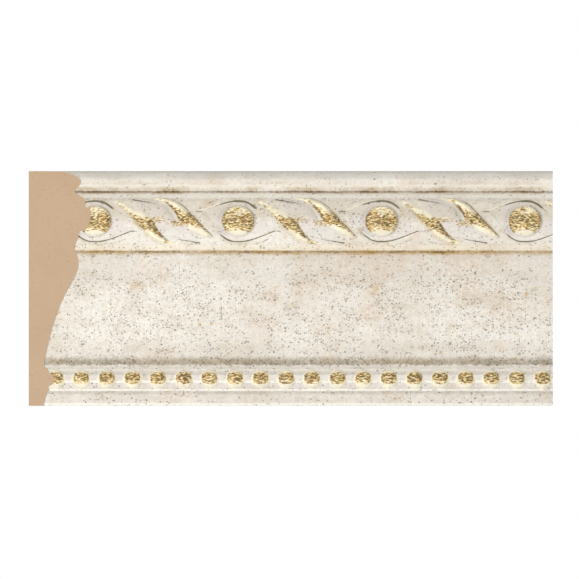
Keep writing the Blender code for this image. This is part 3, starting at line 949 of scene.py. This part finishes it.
# Gold: its ragged edge and cover, the streaks that set its tone, how much its load darkens it, and
# where each tone takes over from the darker one.
RAGGED_NOISE = (1.0, 3.0, 0.75, (1100.0, 1100.0, 1700.0))
RAGGEDNESS = 1.6
COVER_READING = (1.00, 1.46)
COVER_STRENGTH = 0.94
STREAK_NOISE = (1.0, 1.0, 0.7, (760.0, 760.0, 2300.0))
GOLD_PALENESS = 0.14
LOAD_DARKENING = 0.23
GOLD_HUE_NOISE = (420.0, 2.0, 0.7)
GOLD_HUE_READING = (0.44, 0.58)
TONE_READINGS = ((0.32, 0.39), (0.40, 0.50), (0.50, 0.61))

# Mottling of the white, from broad patches to grain and faint upright runs: noise, reading, colour.
MOTTLE_NOISE = (620.0, 3.0, 0.8)
HUE_NOISE = (900.0, 2.0, 0.8)
MOTTLING = (
    ((28.0, 3.0, 0.5), (0.38, 0.68, 0.0, 0.50), WARM_WHITE),
    (MOTTLE_NOISE, (0.42, 0.70, 0.0, 0.85), WARM_WHITE),
    ((1.0, 1.0, 0.5, (1700.0, 1700.0, 2000.0)), (0.52, 0.72, 0.0, 0.55), GRAIN),
    ((1300.0, 1.0), (0.50, 0.75, 0.0, 0.60), COOL_WHITE),
    (HUE_NOISE, (0.50, 0.66, 0.0, 0.60), ROSE_WHITE),
    (HUE_NOISE, (0.34, 0.50, 0.40, 0.0), BLUE_WHITE),
    ((1.0, 3.0, 0.7, (620.0, 60.0, 40.0)), (0.50, 0.75, 0.0, 0.60), WARM_WHITE),
)

# Stains, fewer below the quirk and on the clean ground, the cool tint of the clean ground, stronger
# towards the top, and the painted shade on the dish's left wall.
STAIN_NOISE = (95.0, 4.0, 0.65, (0.6, 1.0, 1.4))
STAIN_READING = (0.44, 0.74)
STAINS_BY_HEIGHT = (QUIRK_AT - 0.002, QUIRK_AT + 0.001, 0.30, 0.40)
CLEANNESS = 0.7
COOL_BY_HEIGHT = (BOSS_AT - 0.0060, BOSS_AT + 0.0010, 0.30, 0.80)
SHADE_READING = (0.95, 1.4, 0.0, 0.8)
CREASE_NOISE = (260.0, 3.0, 0.6)
CREASE_READING = (0.35, 0.65, 0.1, 0.75)

# Rosy blotches broken by the mottling, ochre marks, and freckles on the frieze. Dots are their
# scale, radius, share and core.
BLOTCH_NOISE = (38.0, 3.0, 0.6)
BLOTCH_READING = (0.51, 0.64, 0.0, 0.52)
BROKEN_READING = (0.40, 0.60, 0.30, 1.0)
OCHRE_DOTS = (
    ((105.0, 0.36, 0.34, 0.0), 0.70),
    ((230.0, 0.28, 0.34, 0.1), 0.90),
)
FRECKLE_DOTS = (560.0, 0.46, 0.42, 0.2)
FRECKLE_BAND = (QUIRK_AT, CROWN_AT + 0.002, 0.001, 0.001)
FRECKLE_STRENGTH = 0.55

# Cream and ink, each broken by a noise.
CREAM_NOISE = (420.0, 2.0)
CREAM_READING = (0.30, 0.62, 0.50, 1.0)
INK_NOISE = (600.0, 3.0, 0.7)
INK_BREAKS = 0.62
INK_READING = (0.02, 0.38)
INK_STRENGTH = 0.9

# How rough, bright and uneven the surfaces are.
PAINT_ROUGHNESS = 0.62
GOLD_ROUGHNESS = 0.42
FINISH_SPECULAR = 0.25
MOTTLE_BUMP = 0.5
FINISH_BUMP = 0.00012
CORE_ROUGHNESS = 0.8
CORE_SPECULAR = 0.2
CORE_BUMP = 0.00004

# The core's grain, clouds and pores.
CORE_GRAIN = (1500.0, 3.0, 0.6)
CORE_GRAIN_READING = (0.35, 0.65, 0.0, 0.36)
CORE_CLOUDS = (40.0, 4.0, 0.6)
CORE_CLOUDS_READING = (0.38, 0.62, 0.0, 0.26)
CORE_PORES = (800.0, 0.40, 0.16, 0.6)
PORE_STRENGTH = 0.40


def washed_and_lit(n, colour, height):
    """Brown and grey wash left in the grooves, with painted shade and painted highlights in other bands,
    all in uneven patches with wandering edges.
    """
    grain = n.soft(n.noise(*BAND_GRAIN), *BAND_GRAIN_READING)
    for low, high, below, above, wander, strength, least, band_colour, scale in WASH_AND_LIGHT_BANDS:
        drift = n.calc("SUBTRACT", n.noise(DRIFT_FINENESS * scale, *DRIFT_NOISE), NOISE_MIDDLE)
        level = n.calc("ADD", height, n.times(drift, wander / NOISE_MIDDLE))
        patches = n.soft(n.noise(scale, *PATCH_NOISE), *PATCH_READING, least, 1.0)
        amount = n.times(n.band(level, low, high, below, above), patches, grain, strength)
        colour = n.mix(amount, colour, band_colour)
    return colour


def rubbed_and_lit(n, colour, height):
    """Raised edges rubbed to a paler white, with painted highlights along the same bands."""
    rub_and_highlight = n.soft(n.noise(*RUB_AND_HIGHLIGHT_NOISE), *RUB_AND_HIGHLIGHT_READING)
    for low, high, fade, strength in RUBBED_AND_LIT_BANDS:
        amount = n.times(n.band(height, low, high, fade, fade), strength, rub_and_highlight)
        colour = n.mix(amount, colour, RUBBED_AND_HIGHLIGHT_WHITE)
    return colour


def speckled(n, height):
    """Small dark pits, gathered in loose clusters and thickest low on the ogee."""
    clusters = n.soft(n.noise(*CLUSTER_NOISE), *CLUSTER_READING)
    low_down = n.soft(n.band(height, *THICK_BAND), *THICK_READING)
    crowd = n.times(clusters, low_down, n.soft(height, *FEW_ON_ROLL))
    pits = 0.0
    for scale, radius, share, core, strength in PITS:
        dots = n.dots(scale, radius, n.times(crowd, share), core)
        pits = n.calc("MAXIMUM", pits, n.times(dots, strength))
    return pits


def gilded(n, colour):
    """Dry gold over the raised forms: pale where thin, dark where the brush left most."""
    ragged = n.times(n.noise(*RAGGED_NOISE), RAGGEDNESS)
    cover = n.soft(n.calc("ADD", n.field("gilding"), ragged), *COVER_READING)
    streaks = n.calc("ADD", n.noise(*STREAK_NOISE), GOLD_PALENESS)
    tone = n.calc("SUBTRACT", streaks, n.times(n.field("load"), LOAD_DARKENING))
    middle = n.mix(n.soft(n.noise(*GOLD_HUE_NOISE), *GOLD_HUE_READING), OLIVE_GOLD, AMBER_GOLD)
    gold = DARK_GOLD
    for reading, paler in zip(TONE_READINGS, (middle, LIGHT_GOLD, PALE_YELLOW)):
        gold = n.mix(n.soft(tone, *reading), gold, paler)
    return n.mix(n.times(cover, COVER_STRENGTH), colour, gold), cover


def ground_colour(n, height, mottle):
    """The white ground, mottled and stained, cool and clean inside the eyes and on the ribbon, with
    painted shade on the dishes' left walls.
    """
    colour = CREAM_WHITE
    for noise, reading, tint in MOTTLING:
        colour = n.mix(n.soft(n.noise(*noise), *reading), colour, tint)

    clean = n.field("clean")
    bare = n.calc("SUBTRACT", 1.0, n.times(clean, CLEANNESS))
    stains = n.soft(n.noise(*STAIN_NOISE), *STAIN_READING)
    colour = n.mix(n.times(stains, n.soft(height, *STAINS_BY_HEIGHT), bare), colour, STAIN)
    colour = n.mix(n.times(clean, n.soft(height, *COOL_BY_HEIGHT)), colour, COOL_WHITE)
    colour = n.mix(n.soft(clean, *SHADE_READING), colour, COOL_SHADE)

    blotches = n.soft(n.noise(*BLOTCH_NOISE), *BLOTCH_READING)
    colour = n.mix(n.times(blotches, n.soft(mottle, *BROKEN_READING), bare), colour, ROSE_STAIN)
    for dots, strength in OCHRE_DOTS:
        colour = n.mix(n.times(n.dots(*dots), strength), colour, OCHRE)
    freckles = n.times(n.dots(*FRECKLE_DOTS), n.band(height, *FRECKLE_BAND), bare, FRECKLE_STRENGTH)
    colour = n.mix(freckles, colour, FRECKLE)
    crease = n.times(n.field("crease"), n.soft(n.noise(*CREASE_NOISE), *CREASE_READING))
    return n.mix(crease, colour, STAIN)


def finish_material():
    """Antique white with pits and stains, a brown wash in the grooves, painted shade and painted
    highlights in bands, and brushed gold.
    """
    n = Nodes("antique_white_finish")
    height = n.height()
    mottle = n.noise(*MOTTLE_NOISE)
    colour = ground_colour(n, height, mottle)
    colour = rubbed_and_lit(n, colour, height)
    colour = washed_and_lit(n, colour, height)
    pits = speckled(n, height)
    pit_colour = n.mix(n.soft(n.noise(*WARM_PIT_NOISE), *WARM_PIT_READING), PIT, WARM_PIT)
    colour = n.mix(n.times(pits, PIT_STRENGTH), colour, pit_colour)

    patchy = n.soft(n.noise(*CREAM_NOISE), *CREAM_READING)
    colour = n.mix(n.times(n.field("cream_and_highlight"), patchy), colour, PALE_YELLOW)
    colour, cover = gilded(n, colour)

    broken = n.times(n.noise(*INK_NOISE), INK_BREAKS)
    inked = n.soft(n.calc("SUBTRACT", n.field("ink_and_shade"), broken), *INK_READING)
    colour = n.mix(n.times(inked, INK_STRENGTH), colour, INK)

    n.set(n.shader.inputs["Base Color"], colour)
    n.set(n.shader.inputs["Roughness"], n.soft(cover, 0.0, 1.0, PAINT_ROUGHNESS, GOLD_ROUGHNESS))
    n.shader.inputs["Specular IOR Level"].default_value = FINISH_SPECULAR
    n.bump(n.calc("SUBTRACT", n.times(mottle, MOTTLE_BUMP), pits), FINISH_BUMP)
    return n.material


def core_material():
    """The tan foam of the cut ends and the back: fine grain, faint clouds and small pores."""
    n = Nodes("foam_core")
    grain = n.noise(*CORE_GRAIN)
    clouds = n.soft(n.noise(*CORE_CLOUDS), *CORE_CLOUDS_READING)
    shade = n.calc("ADD", n.soft(grain, *CORE_GRAIN_READING), clouds)
    colour = n.mix(shade, CORE, CORE_SHADE)
    pores = n.dots(*CORE_PORES)
    colour = n.mix(n.times(pores, PORE_STRENGTH), colour, CORE_PORE)
    n.set(n.shader.inputs["Base Color"], colour)
    n.shader.inputs["Roughness"].default_value = CORE_ROUGHNESS
    n.shader.inputs["Specular IOR Level"].default_value = CORE_SPECULAR
    n.bump(n.calc("SUBTRACT", grain, pores), CORE_BUMP)
    return n.material


def dress():
    """Puts the finished surface over the solid."""
    mesh = build_mesh("moulding_finish")
    piece = bpy.data.objects.new("moulding_finish", mesh)
    bpy.context.scene.collection.objects.link(piece)
    mesh.materials.append(finish_material())
    mesh.materials.append(core_material())
    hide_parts("moulding")
    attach(piece, "root")


# The picture is as wide as this many metres, and is centred here.
VIEW_WIDTH = 0.2316
VIEW_CENTRE = (-0.0005, -0.0004)
CAMERA_DISTANCE = 1.2

# One soft light from the lower left, and an even light from all around.
KEY_PLACE = (-0.42, -0.92, -0.20)
KEY_SIZE = 0.5
KEY_POWER = 5.5
BACKDROP_LIGHT = 1.0
EVEN_LIGHT = 0.76
WHITE = (1.0, 1.0, 1.0)

# The floor, far enough below to stay out of the picture, with faint clouds in its paint.
FLOOR_REACH = 1.5
FLOOR_LEVEL = -0.80
FLOOR_CORNERS = ((-1, -1), (1, -1), (1, 1), (-1, 1))
FLOOR_ROUGHNESS = 0.9
FLOOR_CLOUDS = (3.0, 3.0, 0.6)
FLOOR_CLOUDS_READING = (0.35, 0.65)


def make_camera():
    """A camera without perspective, square on to the front as in the photo."""
    data = bpy.data.cameras.new("camera")
    data.type = "ORTHO"
    data.ortho_scale = VIEW_WIDTH
    camera = bpy.data.objects.new("camera", data)
    camera.location = (VIEW_CENTRE[0], -CAMERA_DISTANCE, VIEW_CENTRE[1])
    camera.rotation_euler = (math.radians(90), 0, 0)
    bpy.context.scene.collection.objects.link(camera)
    bpy.context.scene.camera = camera


def make_light(name, place, size, power):
    """A soft square light that faces the middle of the moulding."""
    data = bpy.data.lights.new(name, "AREA")
    data.size = size
    data.energy = power
    lamp = bpy.data.objects.new(name, data)
    lamp.location = place
    aim = -lamp.location
    lamp.rotation_euler = aim.to_track_quat("-Z", "Y").to_euler()
    bpy.context.scene.collection.objects.link(lamp)


def make_world():
    """A white backdrop for the camera, and a dimmer even light on the moulding."""
    world = bpy.data.worlds.new("studio")
    world.use_nodes = True
    tree = world.node_tree
    seen = tree.nodes["Background"]
    lit = tree.nodes.new("ShaderNodeBackground")
    for backdrop, strength in ((seen, BACKDROP_LIGHT), (lit, EVEN_LIGHT)):
        backdrop.inputs["Color"].default_value = (*WHITE, 1.0)
        backdrop.inputs["Strength"].default_value = strength
    path = tree.nodes.new("ShaderNodeLightPath")
    mix = tree.nodes.new("ShaderNodeMixShader")
    tree.links.new(path.outputs["Is Camera Ray"], mix.inputs["Fac"])
    tree.links.new(lit.outputs[0], mix.inputs[1])
    tree.links.new(seen.outputs[0], mix.inputs[2])
    tree.links.new(mix.outputs[0], tree.nodes["World Output"].inputs["Surface"])
    bpy.context.scene.world = world


def make_floor():
    """A plain pale floor under the moulding."""
    mesh = bpy.data.meshes.new("floor")
    corners = [(x * FLOOR_REACH, y * FLOOR_REACH, FLOOR_LEVEL) for x, y in FLOOR_CORNERS]
    mesh.from_pydata(corners, [], [(0, 1, 2, 3)])
    floor = bpy.data.objects.new("floor", mesh)
    n = Nodes("floor_paint")
    clouds = n.soft(n.noise(*FLOOR_CLOUDS), *FLOOR_CLOUDS_READING)
    n.set(n.shader.inputs["Base Color"], n.mix(clouds, FLOOR_PAINT, FLOOR_CLOUD))
    n.shader.inputs["Roughness"].default_value = FLOOR_ROUGHNESS
    mesh.materials.append(n.material)
    bpy.context.scene.collection.objects.link(floor)


dress()
make_floor()
make_world()
make_light("key", KEY_PLACE, KEY_SIZE, KEY_POWER)
make_camera()
bpy.context.scene.view_settings.view_transform = "Standard"
